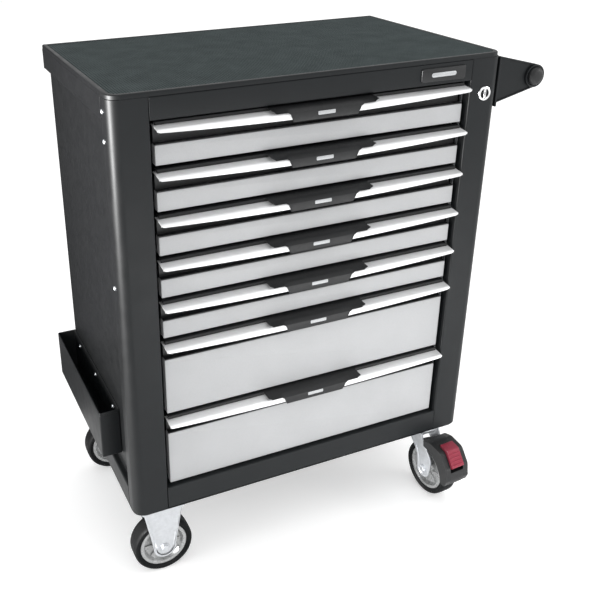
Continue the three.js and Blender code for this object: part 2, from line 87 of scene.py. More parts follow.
def rounded(points, radius, closed=False, steps=5):
    """A polyline whose bends are arcs. radius is one number, or one for each bend."""
    corners = [Vector(p) for p in points]
    bends = range(len(corners)) if closed else range(1, len(corners) - 1)
    path = [] if closed else [corners[0]]
    for count, i in enumerate(bends):
        corner, before, after = corners[i], corners[i - 1], corners[(i + 1) % len(corners)]
        wanted = radius[count] if isinstance(radius, (list, tuple)) else radius
        back, ahead = before - corner, after - corner
        half = back.angle(ahead) / 2
        if wanted <= 0 or half > math.radians(89.5):
            path.append(corner)
            continue
        reach = min(wanted / math.tan(half), back.length * 0.49, ahead.length * 0.49)
        back, ahead = back.normalized(), ahead.normalized()
        centre = corner + (back + ahead).normalized() * reach / math.cos(half)
        first, last = corner + back * reach - centre, corner + ahead * reach - centre
        turn = math.pi - 2 * half
        for step in range(steps + 1):
            t = step / steps
            weights = math.sin((1 - t) * turn), math.sin(t * turn)
            path.append(centre + (first * weights[0] + last * weights[1]) / math.sin(turn))
    if not closed:
        path.append(corners[-1])
    return path


def thick(path, thickness):
    """Outline of a sheet whose middle follows an open path."""
    path = [Vector(p) for p in path]
    sides = [[], []]
    for i, point in enumerate(path):
        before = (point - path[i - 1]).normalized() if i else None
        after = (path[i + 1] - point).normalized() if i + 1 < len(path) else None
        first = before if before is not None else after
        last = after if after is not None else before
        along = (first + last).normalized()
        across = Vector((-along.y, along.x))
        offset = thickness / 2 / across.dot(Vector((-first.y, first.x)))
        sides[0].append(point + across * offset)
        sides[1].append(point - across * offset)
    return sides[0] + sides[1][::-1]


def folded(points, thickness=SHEET, bend=BEND):
    """Outline of a sheet folded along a path, with round bends."""
    return thick(rounded(points, bend), thickness)


def rectangle(x, y, radius=0):
    """A rectangle over two ranges, with round corners if a radius is given."""
    corners = [(x[0], y[0]), (x[1], y[0]), (x[1], y[1]), (x[0], y[1])]
    return rounded(corners, radius, closed=True, steps=4) if radius else corners


def footprint(inset, steps=10):
    """The cabinet's outline from above, drawn in by an inset, with round front corners."""
    x, near, far = WIDTH / 2 - inset, inset, DEPTH - inset
    front = max(CORNER_RADIUS - inset, 2)
    rear = max(4 - inset, 1)
    return [
        *arc(-x + front, near + front, front, 180, 270, steps),
        *arc(x - front, near + front, front, 270, 360, steps),
        *arc(x - rear, far - rear, rear, 0, 90, 3),
        *arc(-x + rear, far - rear, rear, 90, 180, 3),
    ]


def hexagon(radius):
    return arc(0, 0, radius, 0, 300, 5)


# ---------------------------------------------------------------- solids
AXES = {
    "x": lambda u, v, w: (w, u, v),
    "y": lambda u, v, w: (u, w, v),
    "z": lambda u, v, w: (u, v, w),
}


class Solid:
    """Closed shells gathered into one mesh, in millimetres of the frame that place gives."""

    def __init__(self, place=CABINET):
        self.bm = bmesh.new()
        self.place = place

    def loft(self, rings, closed=False):
        """A skin through rings of equal length, capped at both ends or joined end to end."""
        rows = [[self.bm.verts.new(self.place @ Vector(p)) for p in ring] for ring in rings]
        for i in range(len(rows) if closed else len(rows) - 1):
            here, there = rows[i], rows[(i + 1) % len(rows)]
            for j in range(len(here)):
                k = (j + 1) % len(here)
                self.bm.faces.new((here[j], here[k], there[k], there[j]))
        if not closed:
            self.bm.faces.new(rows[0][::-1])
            self.bm.faces.new(rows[-1])
        return [vert for row in rows for vert in row]

    def prism(self, outline, axis, start, end):
        put = AXES[axis]
        self.loft([[put(u, v, w) for u, v in outline] for w in (start, end)])
        return self

    def pillow(self, outline_at, axis, levels):
        """A prism whose outline changes: outline_at(inset) at each (position, inset) level."""
        put = AXES[axis]
        self.loft([[put(u, v, w) for u, v in outline_at(inset)] for w, inset in levels])
        return self

    def box(self, x, y, z):
        return self.prism(rectangle(x, y), "z", *z)

    def turn(self, profile, axis="y", at=(0, 0, 0), steps=48):
        """A profile of (radius, height) points turned about an axis through a point."""
        put = AXES[axis]
        rings = []
        for i in range(steps):
            c, s = math.cos(math.tau * i / steps), math.sin(math.tau * i / steps)
            rings.append([Vector(put(r * c, r * s, h)) + Vector(at) for r, h in profile])
        verts = self.loft(rings, closed=True)
        bmesh.ops.remove_doubles(self.bm, verts=verts, dist=1e-7)
        return self

    def piece(self, name, body, finish, slot, replaces=(), bevel=0.0, segments=2, sharp=35):
        """The finished object: bevelled or smoothed, with its finish, riding on its body."""
        bmesh.ops.recalc_face_normals(self.bm, faces=self.bm.faces)
        mesh = bpy.data.meshes.new(name)
        self.bm.to_mesh(mesh)
        self.bm.free()
        mesh.polygons.foreach_set("use_smooth", [True] * len(mesh.polygons))
        mesh.materials.append(finish)
        obj = bpy.data.objects.new(name, mesh)
        bpy.context.scene.collection.objects.link(obj)
        if bevel:
            edges = obj.modifiers.new("edges", "BEVEL")
            edges.width = bevel * MM
            edges.segments = segments
            edges.limit_method = "ANGLE"
            edges.angle_limit = math.radians(sharp)
            edges.harden_normals = True
        else:
            mesh.set_sharp_from_angle(angle=math.radians(sharp))
        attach(obj, body)
        if replaces:
            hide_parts(*replaces)
        return obj


# ---------------------------------------------------------------- finishes
class Finish:
    """A node-built material whose detail is placed in metres on the piece itself."""

    def __init__(self, name, colour, roughness, metallic=0.0, specular=0.5):
        self.material = bpy.data.materials.new(name)
        self.material.use_nodes = True
        self.nodes = self.material.node_tree.nodes
        self.links = self.material.node_tree.links
        self.shader = self.nodes["Principled BSDF"]
        self.shader.inputs["Metallic"].default_value = metallic
        self.shader.inputs["Specular IOR Level"].default_value = specular
        self.colour = Vector(colour)
        self.roughness = roughness
        self.tints = []
        self.roughs = []
        self.heights = []
        self.place = self.nodes.new("ShaderNodeTexCoord").outputs["Object"]

    def stretched(self, scale):
        mapping = self.nodes.new("ShaderNodeMapping")
        mapping.inputs["Scale"].default_value = scale
        self.links.new(self.place, mapping.inputs["Vector"])
        return mapping.outputs["Vector"]

    def noise(self, size, detail=2.0, stretch=None):
        """Noise with features of the given size in metres, from 0 to 1."""
        node = self.nodes.new("ShaderNodeTexNoise")
        node.inputs["Scale"].default_value = 1 / size
        node.inputs["Detail"].default_value = detail
        self.links.new(self.stretched(stretch) if stretch else self.place, node.inputs["Vector"])
        return node.outputs["Fac"]

    def cells(self, size, output="Color"):
        node = self.nodes.new("ShaderNodeTexVoronoi")
        node.inputs["Scale"].default_value = 1 / size
        self.links.new(self.place, node.inputs["Vector"])
        if output == "Distance":
            return node.outputs["Distance"]
        grey = self.nodes.new("ShaderNodeRGBToBW")
        self.links.new(node.outputs["Color"], grey.inputs["Color"])
        return grey.outputs["Val"]

    def spread(self, value, low, high, source=(0.3, 0.7)):
        node = self.nodes.new("ShaderNodeMapRange")
        node.inputs["From Min"].default_value, node.inputs["From Max"].default_value = source
        node.inputs["To Min"].default_value, node.inputs["To Max"].default_value = low, high
        self.links.new(value, node.inputs["Value"])
        return node.outputs["Result"]

    def tint(self, value, low, high, source=(0.3, 0.7)):
        """The colour is multiplied by low to high as the value goes through its source range."""
        self.tints.append(self.spread(value, low, high, source))
        return self

    def rough(self, value, low, high, source=(0.3, 0.7)):
        self.roughs.append(self.spread(value, low, high, source))
        return self

    def bump(self, value, depth):
        """Relief of the given depth in metres."""
        self.heights.append((value, depth))
        return self

    def product(self, values, start):
        """The output that multiplies a starting number by every value."""
        for value in values:
            node = self.nodes.new("ShaderNodeMath")
            node.operation = "MULTIPLY"
            self.links.new(value, node.inputs[1])
            if isinstance(start, float):
                node.inputs[0].default_value = start
            else:
                self.links.new(start, node.inputs[0])
            start = node.outputs["Value"]
        return start

    def made(self):
        """Joins everything to the shader and gives the material."""
        amount = self.product(self.tints, 1.0)
        scaled = self.nodes.new("ShaderNodeVectorMath")
        scaled.operation = "SCALE"
        scaled.inputs[0].default_value = self.colour
        self.links.new(amount, scaled.inputs["Scale"])
        self.links.new(scaled.outputs["Vector"], self.shader.inputs["Base Color"])
        if self.roughs:
            rough = self.product(self.roughs, float(self.roughness))
            self.links.new(rough, self.shader.inputs["Roughness"])
        else:
            self.shader.inputs["Roughness"].default_value = self.roughness
        normal = None
        for value, depth in self.heights:
            node = self.nodes.new("ShaderNodeBump")
            node.inputs["Distance"].default_value = depth
            self.links.new(value, node.inputs["Height"])
            if normal is not None:
                self.links.new(normal, node.inputs["Normal"])
            normal = node.outputs["Normal"]
        if normal is not None:
            self.links.new(normal, self.shader.inputs["Normal"])
        return self.material


def charcoal_paint():
    f = Finish("charcoal_paint", (0.0082, 0.0097, 0.0108), 0.44, specular=0.2)
    f.tint(f.noise(0.05), 0.95, 1.05).tint(f.cells(0.0009), 0.92, 1.08, (0, 1))
    f.rough(f.noise(0.03), 0.93, 1.1).bump(f.noise(0.0022, 3), 0.00004)
    return f.made()


def silver_paint():
    f = Finish("silver_paint", (0.385, 0.39, 0.397), 0.45)
    f.tint(f.noise(0.09), 0.97, 1.03).tint(f.cells(0.0008), 0.94, 1.06, (0, 1))
    f.rough(f.noise(0.02), 0.9, 1.12).bump(f.noise(0.0016, 3), 0.00004)
    return f.made()


def bright_aluminium():
    f = Finish("bright_aluminium", (0.80, 0.805, 0.81), 0.42, 0.35)
    lines = f.noise(0.0007, 3, (0.012, 1, 1))
    f.tint(lines, 0.95, 1.04).rough(lines, 0.88, 1.15).bump(lines, 0.00002)
    return f.made()


def black_plastic():
    f = Finish("black_plastic", (0.0075, 0.0080, 0.0088), 0.44, specular=0.35)
    f.tint(f.noise(0.01), 0.9, 1.12).rough(f.noise(0.004), 0.85, 1.2)
    f.bump(f.cells(0.0009, "Distance"), 0.00006)
    return f.made()


def mat_rubber():
    f = Finish("mat_rubber", (0.058, 0.070, 0.071), 0.85, specular=0.02)
    f.tint(f.noise(0.04, 4), 0.9, 1.12).tint(f.cells(0.0012), 0.85, 1.18, (0, 1))
    f.rough(f.noise(0.01), 0.9, 1.1).bump(f.noise(0.0009, 3), 0.00008)
    return f.made()


def tyre_rubber():
    f = Finish("tyre_rubber", (0.0040, 0.0045, 0.0050), 0.6, specular=0.1)
    f.tint(f.noise(0.012, 4), 0.8, 1.4).rough(f.noise(0.006), 0.85, 1.2)
    f.bump(f.noise(0.0012, 4), 0.0001)
    return f.made()


def wheel_grey():
    f = Finish("wheel_grey", (0.34, 0.345, 0.345), 0.28, 0.35)
    f.tint(f.noise(0.01, 3), 0.95, 1.05).rough(f.noise(0.008), 0.9, 1.1)
    f.bump(f.noise(0.003), 0.00001)
    return f.made()


def zinc_steel():
    f = Finish("zinc_steel", (0.53, 0.545, 0.565), 0.38, 0.7)
    f.tint(f.cells(0.004), 0.95, 1.04, (0, 1)).tint(f.noise(0.012, 3), 0.93, 1.05)
    f.rough(f.noise(0.006, 3), 0.85, 1.2).bump(f.noise(0.004), 0.00001)
    return f.made()


def chrome_trim():
    f = Finish("chrome_trim", (0.86, 0.865, 0.875), 0.10, 1.0)
    f.tint(f.noise(0.004), 0.97, 1.02).rough(f.noise(0.0015, 4), 0.7, 1.6)
    f.bump(f.noise(0.0008, 3), 0.000006)
    return f.made()


def red_plastic():
    f = Finish("red_plastic", (0.22, 0.014, 0.034), 0.36, specular=0.35)
    f.tint(f.noise(0.008), 0.92, 1.1).rough(f.noise(0.004), 0.85, 1.2)
    f.bump(f.cells(0.001, "Distance"), 0.00005)
    return f.made()


def label_print():
    f = Finish("label_print", (0.42, 0.43, 0.44), 0.4, 0.2)
    f.tint(f.noise(0.002, 3), 0.85, 1.08).bump(f.noise(0.001), 0.00002)
    return f.made()


CHARCOAL = charcoal_paint()
SILVER = silver_paint()
ALUMINIUM = bright_aluminium()
BLACK = black_plastic()
MAT = mat_rubber()
TYRE = tyre_rubber()
WHEEL = wheel_grey()
ZINC = zinc_steel()
CHROME = chrome_trim()
RED = red_plastic()
LABEL = label_print()


# ---------------------------------------------------------------- fasteners
def pan_head(solid, at, axis, out, radius=4.2, height=2.2):
    """A dome-headed screw with a round socket. out is 1 or -1: the way it faces along its axis."""
    profile = [
        (0, -0.5), (radius, -0.5), (radius, 0.25 * height), (0.86 * radius, 0.66 * height),
        (0.62 * radius, 0.92 * height), (0.44 * radius, height), (0.36 * radius, 0.45 * height),
        (0, 0.45 * height),
    ]
    solid.turn([(r, h * out) for r, h in profile], axis, at, steps=20)


def hex_head(solid, at, axis, out, radius=8.0, height=5.0):
    """A hexagon head on a washer, standing on the face at its point."""
    put = AXES[axis]
    washer = [(0, 0), (radius * 1.18, 0), (radius * 1.22, 0.5), (radius * 1.18, 1.2), (0, 1.2)]
    solid.turn([(r, h * out) for r, h in washer], axis, at, steps=28)
    rings = []
    for h, scale in ((1.0, 1), (height - 0.8, 1), (height, 0.86)):
        points = [Vector(put(u, v, h * out)) for u, v in hexagon(radius * scale)]
        rings.append([Vector(at) + p for p in points])
    solid.loft(rings)


# ---------------------------------------------------------------- cabinet shell
def build_cover():
    """Worktop pan: a round-edged rim that stands over the sunk deck."""
    rim, lip = 9, 2.6
    deck = extent("worktop_mat")[2][0] - 0.3
    edge = arc(lip, TOP - lip, lip, 180, 90, 5)
    inner = arc(rim - 1.2, TOP - 1.2, 1.2, 90, 0, 3)
    levels = [(SHEET, deck - SHEET), (SHEET, COVER_BOTTOM), (0, COVER_BOTTOM)]
    levels += edge + inner + [(rim, deck)]
    cover = Solid()
    cover.loft([[(x, y, z) for x, y in footprint(inset)] for inset, z in levels])
    cover.piece("top_cover_shell", "cabinet", CHARCOAL, "charcoal_paint", ["top_cover"])


def build_mat():
    """Rubber mat with fine ribs from front to back, cut round at the front corners."""
    pitch, groove = 5.0, 1.1
    (x0, x1), (y0, y1), (z0, z1) = extent("worktop_mat")
    count = round((x1 - x0) / pitch)
    step = (x1 - x0) / count
    radius = CORNER_RADIUS - 9.3
    profile = [(0.0, 0), (0.12, groove), (0.42, groove), (0.54, 0)]
    samples = [(x0 + step * (i + t), z1 - depth) for i in range(count) for t, depth in profile]
    samples.append((x1, z1))
    rings = []
    for x, z in samples:
        past = max(0, abs(x - (x0 + x1) / 2) - ((x1 - x0) / 2 - radius))
        near = y0 + radius - math.sqrt(max(radius**2 - past**2, 0))
        rings.append([(x, near, z0), (x, near, z), (x, y1, z), (x, y1, z0)])
    mat = Solid()
    mat.loft(rings)
    mat.piece("ribbed_mat", "cabinet", MAT, "mat_rubber", ["worktop_mat"], sharp=25)


def build_posts():
    """Folded corner posts with a large round corner, and their bright screws."""
    half = SHEET / 2
    path = [
        (SIDE_RECESS, POST_SIDE - half), (half, POST_SIDE - half), (half, half),
        (POST_WIDTH - half, half), (POST_WIDTH - half, 20),
    ]
    bends = [BEND, CORNER_RADIUS - half, BEND]
    outline = thick(rounded(path, bends, steps=12), SHEET)
    screws = Solid()
    for side, name in ((-1, "front_left_post"), (1, "front_right_post")):
        post = Solid()
        post.prism([(side * (WIDTH / 2 - d), y) for d, y in outline], "z", FLOOR, FRAME_TOP)
        post.piece(name + "_fold", "cabinet", CHARCOAL, "charcoal_paint", [name], bevel=0.4)
        for below in (32, 82, 348):
            pan_head(screws, (side * WIDTH / 2, 33, TOP - below), "x", side)
    screws.piece("post_screws", "cabinet", ZINC, "zinc_steel")


def build_beams():
    """Header above the drawers and sill below them, folded channels that face the back."""
    for name in ("front_header", "front_sill"):
        x, (near, far), (low, high) = extent(name)
        half = SHEET / 2
        path = [(far, high - half), (near + half, high - half), (near + half, low + half),
                (near + 22, low + half)]
        beam = Solid().prism(folded(path), "x", *x)
        beam.piece(name + "_channel", "cabinet", CHARCOAL, "charcoal_paint", [name], bevel=0.35)


def build_sides():
    """Side panels: a sunk sheet between a bottom rail and a top rail."""
    half = SHEET / 2
    low, high = BASE_BOTTOM + BOTTOM_RAIL, TOP - TOP_RAIL
    sunk = SIDE_RECESS + half
    path = [(half, FRAME_TOP), (half, high), (sunk, high), (sunk, low), (half, low), (half, FLOOR)]
    rivets = Solid()
    for side, name in ((-1, "left_side_panel"), (1, "right_side_panel")):
        panel = Solid()
        fold = [(side * (WIDTH / 2 - d), z) for d, z in folded(path, bend=3)]
        panel.prism(fold, "y", POST_SIDE + 0.3, DEPTH - SHEET)
        rear = sorted((side * (WIDTH / 2 - REAR_RETURN), side * WIDTH / 2))
        inner = sorted((side * (WIDTH / 2 - REAR_RETURN), side * (WIDTH / 2 - SIDE_RECESS)))
        edge = (DEPTH - SHEET, DEPTH)
        panel.box(rear, edge, (FLOOR, low))
        panel.box(inner, edge, (low, high))
        panel.box(rear, edge, (high, FRAME_TOP))
        panel.piece(name + "_fold", "cabinet", CHARCOAL, "charcoal_paint", [name], bevel=0.35)
        for z in (low - 24, (low + high) / 2, high + 20):
            pan_head(rivets, (side * (WIDTH / 2 - 22), DEPTH - 0.4, z), "y", 1, 3.2, 1.4)
    rivets.piece("rear_flange_rivets", "cabinet", ZINC, "zinc_steel")


def build_base_and_back():
    """Base plate, and a riveted back sheet whose field is pressed inwards."""
    base = Solid()
    z0, z1 = extent("base_pan")[2]
    base.pillow(footprint, "z", [(z0, 1.2), (z0 + 0.5, 0.3), (z0 + 1, 0), (z1, 0)])
    base.piece("base_plate", "cabinet", CHARCOAL, "charcoal_paint", ["base_pan"])
    (x0, x1), (near, far), (low, high) = extent("back_panel")
    back = Solid()

    def field(inset):
        radius = 14 if inset > 20 else 1
        return rectangle((x0 + inset, x1 - inset), (low + inset, high - inset), radius)

    sheet = [(near, 0), (far - 0.5, 0), (far, 0.5), (far, 30), (far - 0.8, 31), (far - 3, 34)]
    back.pillow(field, "y", sheet)
    back.piece("back_sheet", "cabinet", CHARCOAL, "charcoal_paint", ["back_panel"])
    rivets = Solid()
    for side in (x0 + 10, x1 - 10):
        for i in range(6):
            z = low + 30 + (high - low - 60) * i / 5
            pan_head(rivets, (side, far - 0.4, z), "y", 1, 3.0, 1.3)
    rivets.piece("back_sheet_rivets", "cabinet", ZINC, "zinc_steel")


def build_badge():
    """Blank name badge: a black plate with a plain bright bar."""
    (x0, x1), (near, far), (z0, z1) = extent("name_badge")
    plate = Solid()

    def outline(inset):
        return rectangle((x0 + inset, x1 - inset), (z0 + inset, z1 - inset), 4 - inset)

    plate.pillow(outline, "y", [(far, 0), (near + 0.9, 0), (near + 0.3, 0.4), (near, 1.2)])
    plate.piece("badge_plate", "cabinet", BLACK, "black_plastic", ["name_badge"])
    bar = Solid()
    middle, half, height = (x0 + x1) / 2, 27, 4

    def stripe(inset):
        x, z = (middle - half + inset, middle + half - inset), (z0 + z1) / 2
        return rectangle(x, (z - height + inset, z + height - inset), height - inset - 0.1)

    bar.pillow(stripe, "y", [(near + 0.2, 0), (near - 0.35, 0), (near - 0.55, 0.3)])
    bar.piece("badge_bar", "cabinet", LABEL, "bright_aluminium")


# ---------------------------------------------------------------- drawers
# Sections are (Y, Z) points from the cabinet's front plane and the drawer's top edge.
DRAWERS = range(1, 8)
STRIP_DROP = 7.2
FRONT_HALF = 306
SLIDE_BELOW_TOP = 46
LIP_TOP = -14
LIP_CORNER = 5.5
STRIP = [
    (20.1, -7.2), (8, -7.3), (-10, -9.3), (-12.6, -10.6), (-13.8, -13),
    (-14.2, -27), (-13, -27), (-12.6, -13.4), (-11.4, -11.6), (8, -9.3), (20.1, -9.2),
]
STRIP_BENDS = [0.5, 8, 5, 2.4, 3, 0.5, 0.5, 1.2, 1.2, 8, 0.5]
LIP_END, LIP_MIDDLE, LIP_BEHIND_GRIP = 15, 22.5, 19
LIP_NOTCH = 60
RECESS_HEIGHT = 42
GRIP_TOP_WIDTH = 209
GRIP_FOOT_WIDTH = 138
GRIP_SIDE = [
    (7, -1), (-3, -2.6), (-11, -6), (-16, -11), (-17, -23), (-15.8, -26.4),
    (-12.6, -27), (-10.6, -25.4), (-10.2, -15), (-8, -12.6), (7, -11),
]


def drawer_front(place, name, body, x, height):
    """Painted front below the finger recess, with its edges folded back."""
    face = Solid(place)
    near, far = 8, 24

    def outline(inset):
        z = (-height + inset, -RECESS_HEIGHT - inset)
        return rectangle((x[0] + inset, x[1] - inset), z, max(1.6 - inset, 0.2))

    face.pillow(outline, "y", [(far, 0), (near + 1.4, 0), (near + 0.4, 0.4), (near, 1.4)])
    face.piece(name + "_front", body, SILVER, "silver_paint", [name + "_tray"])


def drawer_box(place, name, body, height):
    """Folded steel box behind the front, with hemmed top edges."""
    box = Solid(place)
    half, near, far, sheet = 302, 22.5, 424, 1.2
    floor, top = -height + 4, -9
    u_section = [(-half + 0.6, top - 1.2), (-half + 0.6, floor + 0.6), (half - 0.6, floor + 0.6),
                 (half - 0.6, top - 1.2)]
    box.prism(folded(u_section, sheet, 2), "y", near, far - sheet)
    for side in (-1, 1):
        rail = sorted((side * half, side * (half - 2.6)))
        box.prism(rectangle(rail, (top - 3, top), 1.2), "y", near, far)
    box.box((-half + 0.05, half - 0.05), (far - sheet, far), (floor, top - 0.5))
    box.prism(rectangle((far - 2.6, far), (top - 3, top), 1.2), "x", -half + 2, half - 2)
    box.box((-half + 1, half - 1), (near, near + 1.2), (floor, -5))
    box.piece(name + "_box", body, CHARCOAL, "charcoal_paint", bevel=0.25)


def drawer_slides(place, name, body):
    """Moving members of the two ball-bearing slides: a channel with rolled lips and a stop."""
    slides = Solid(place)
    z, half, near, far = -SLIDE_BELOW_TOP, 13, 44, 422
    for side in (-1, 1):
        lips = [(307.2, half - 0.6), (302.9, half - 0.6),
                (302.9, -half + 0.6), (307.2, -half + 0.6)]
        section = [(side * u, z + v) for u, v in folded(lips, 1.2, 1.6)]
        slides.prism(section, "y", near, far)
        slides.box(sorted((side * 302.2, side * 307)), (far - 8, far - 2), (z - 5, z + 5))
        for y in (70, 190, 320, 405):
            pan_head(slides, (side * 303.4, y, z), "x", side, 3.2, 1.5)
    slides.piece(name + "_slides", body, ZINC, "zinc_steel", bevel=0.2)


def lip_edge(x, half):
    """Height of the strip's lower edge at a distance from the middle."""
    if x < LIP_NOTCH:
        return -LIP_BEHIND_GRIP
    corner = max(0, x - half + LIP_CORNER) / LIP_CORNER
    bow = (LIP_MIDDLE - LIP_END) * (x / half) ** 2
    return -LIP_MIDDLE + bow + 5 * (1 - math.sqrt(max(0, 1 - corner**2)))


def drawer_strip(place, name, body, x):
    """Extruded pull strip whose front lip bows down towards the middle."""
    half, steps = (x[1] - x[0]) / 2, 20
    outline = rounded(STRIP, STRIP_BENDS, closed=True, steps=4)
    lip_bottom = STRIP[5][1]
    start = half - LIP_CORNER
    stations = [half - d for d in (0, 0.5, 1.5, 3.2)]
    stations += [start - (start - LIP_NOTCH) * i / steps for i in range(steps + 1)]
    stations.append(LIP_NOTCH - 0.5)
    strip = Solid(place)
    rings = []
    for u in stations + [-u for u in stations[::-1]]:
        shrink = (lip_edge(abs(u), half) - LIP_TOP) / (lip_bottom - LIP_TOP)
        section = [(y, z if z > LIP_TOP else LIP_TOP + (z - LIP_TOP) * shrink) for y, z in outline]
        rings.append([(u, y, z) for y, z in section])
    strip.loft(rings)
    strip.piece(name + "_strip", body, ALUMINIUM, "bright_aluminium", [name + "_handle"], bevel=0.3)


def drawer_grip(place, name, body, x):
    """Black moulding: the liner of the finger recess, and the winged grip over the strip."""
    liner = Solid(place)
    foot = -RECESS_HEIGHT + 1.2
    channel = [(6.9, -7.2), (6.9, -1.9), (21.3, -1.9), (21.3, foot), (8.5, foot)]
    liner.prism(folded(channel, 1.8, 1.5), "x", x[0] + 1, x[1] - 1)
    liner.piece(name + "_liner", body, BLACK, "black_plastic", [name + "_grip"], bevel=0.3)
    grip = Solid(place)
    grip_shell(grip)
    grip.piece(name + "_paddle", body, BLACK, "black_plastic", bevel=0.7, segments=3, sharp=30)
    label = Solid(place)
    half, top, low = 17, -12.4, -18.8
    rings = []
    for depth, inset in ((0.4, 0), (-0.25, 0), (-0.4, 0.35)):
        outline = rectangle((-half + inset, half - inset), (low + inset, top - inset), 1.4 - inset)
        rings.append([(u, -16 + (v + 11) / 12 + depth, v) for u, v in outline])
    label.loft(rings)
    label.piece(name + "_label", body, LABEL, "bright_aluminium")


def grip_shell(grip):
    """The paddle, drawn across X: its section shrinks towards the wings and the foot."""
    half_top, half_foot = GRIP_TOP_WIDTH / 2, GRIP_FOOT_WIDTH / 2

    def lowest(x):
        """Height of the lower edge at a distance from the middle."""
        steps = [(half_foot - 6, -27), (half_foot, -13), (half_foot + 6, -8.6), (half_top - 8, -8.6),
                 (half_top - 5, -6), (half_top, -3.4)]
        if x <= steps[0][0]:
            return steps[0][1]
        for (x0, z0), (x1, z1) in zip(steps, steps[1:]):
            if x <= x1:
                return z0 + (z1 - z0) * (x - x0) / (x1 - x0)
        return steps[-1][1]

    ends = [half_top, half_top - 1.5, half_top - 5, half_top - 8, half_foot + 6, half_foot + 3]
    ends += [half_foot, half_foot - 3, half_foot - 6, half_foot - 20, 0]
    rings = []
    for x in [-e for e in ends] + ends[-2::-1]:
        low = lowest(abs(x))
        rings.append([(x, y, max(z, low + 0.02 * (z + 27))) for y, z in GRIP_SIDE])
    grip.loft(rings)


def drawer_top(number):
    """Height of a drawer's top edge."""
    return extent(f"drawer_{number}_handle")[2][1] + STRIP_DROP


def build_drawers():
    front_x = (-FRONT_HALF, FRONT_HALF)
    for number in DRAWERS:
        name = body = f"drawer_{number}"
        strip_x = extent(name + "_handle")[0]
        top = drawer_top(number)
        height = top - extent(name + "_tray")[2][0]
        place = CABINET @ Matrix.Translation((0, 0, top))
        drawer_front(place, name, body, front_x, height)
        drawer_box(place, name, body, height)
        drawer_slides(place, name, body)
        drawer_strip(place, name, body, strip_x)
        drawer_grip(place, name, body, front_x)


def build_racks():
    """Fixed slide channels on an upright plate at each side of the opening."""
    tops = [drawer_top(number) for number in DRAWERS]
    opening = WIDTH / 2 - POST_WIDTH
    for side, name in ((-1, "left_slide_rack"), (1, "right_slide_rack")):
        x, (near, far), (low, high) = extent(name)
        rack = Solid()
        rack.box(sorted((side * opening, side * (opening - SHEET))), (near, far), (low, high))
        rack.box(sorted((side * opening, side * (opening - 20))), (far - SHEET, far), (low, high))
        for top in tops:
            z, half = top - SLIDE_BELOW_TOP, 18
            lips = [(opening + 11, half - 0.8), (opening - 0.7, half - 0.8),
                    (opening - 0.7, -half + 0.8), (opening + 11, -half + 0.8)]
            section = [(side * u, z + v) for u, v in folded(lips, SHEET, 2)]
            rack.prism(section, "y", near, far)
        rack.piece(name + "_channels", "cabinet", ZINC, "zinc_steel", [name], bevel=0.2)


PLUG_FIT = 8.9 / 9
HOOK_DROP = 18


def build_lock():
    """Chrome ring and plug with its keyway, and the bar with seven hooks."""
    (x0, x1), (near, far), (z0, z1) = extent("lock_housing")
    centre = ((x0 + x1) / 2, 0, (z0 + z1) / 2)
    ring = Solid()
    ring.turn([(9.3, -2.4), (9.9, -3.1), (11.6, -3.5), (13.0, -2.9), (13.8, -1.6), (14, -0.3),
               (11, -0.3), (11, far), (9.3, far)], "y", centre)
    ring.piece("lock_ring", "cabinet", CHROME, "chrome_trim", ["lock_housing"])
    plug = Solid()
    slot = [(-3.6, -0.9), (3.6, -0.9), (3.6, 0.9), (-3.6, 0.9)]
    slot = rounded([(z, x) for x, z in slot], 0.8, closed=True, steps=3)
    rings = []
    for y, bore in ((20.5, 9), (-2.0, 9), (-2.7, 8.6), (-3.1, 7.8)):
        radius = PLUG_FIT * bore
        angles = slot_angles(slot)
        rings.append([(radius * math.cos(a), y, radius * math.sin(a)) for a in angles])
    rings.append([(u, -3.0, v) for u, v in slot])
    rings.append([(u, 1.5, v) for u, v in slot])
    plug.loft([[Vector(p) + Vector(centre) for p in ring] for ring in rings])
    plug.box((centre[0] - 4, centre[0] + 4), (20, 23), (centre[2] - 18, centre[2] + 6))
    plug.piece("lock_plug", "lock_key", CHROME, "chrome_trim", ["lock_cylinder"])
    keyway = Solid()
    inset = [(u * 0.97 + centre[0], v * 0.97 + centre[2]) for u, v in slot]
    keyway.prism(inset, "y", 0.9, 1.6)
    keyway.piece("lock_keyway", "lock_key", BLACK, "black_plastic")
    (x0, x1), (near, far), (low, high) = extent("lock_bar")
    bar = Solid()
    bar.prism(rectangle((x1 - 10, x1), (far - 8, far), 1), "z", low, high)
    for number in DRAWERS:
        top = drawer_top(number) - HOOK_DROP
        hook = [(x0, top), (x0, top - 8), (x1 - 9, top - 14), (x1 - 9, top)]
        bar.prism(rounded(hook, [1.5, 2.5, 0, 0], closed=True), "y", far - 6, far)
    bar.piece("lock_bar_hooks", "lock_bar", ZINC, "zinc_steel", ["lock_bar"], bevel=0.3)


def slot_angles(slot):
    """Directions from the middle of the keyway to its points."""
    return [math.atan2(v, u) for u, v in slot]


# ---------------------------------------------------------------- handle and tray
BRACKET_Y = 25


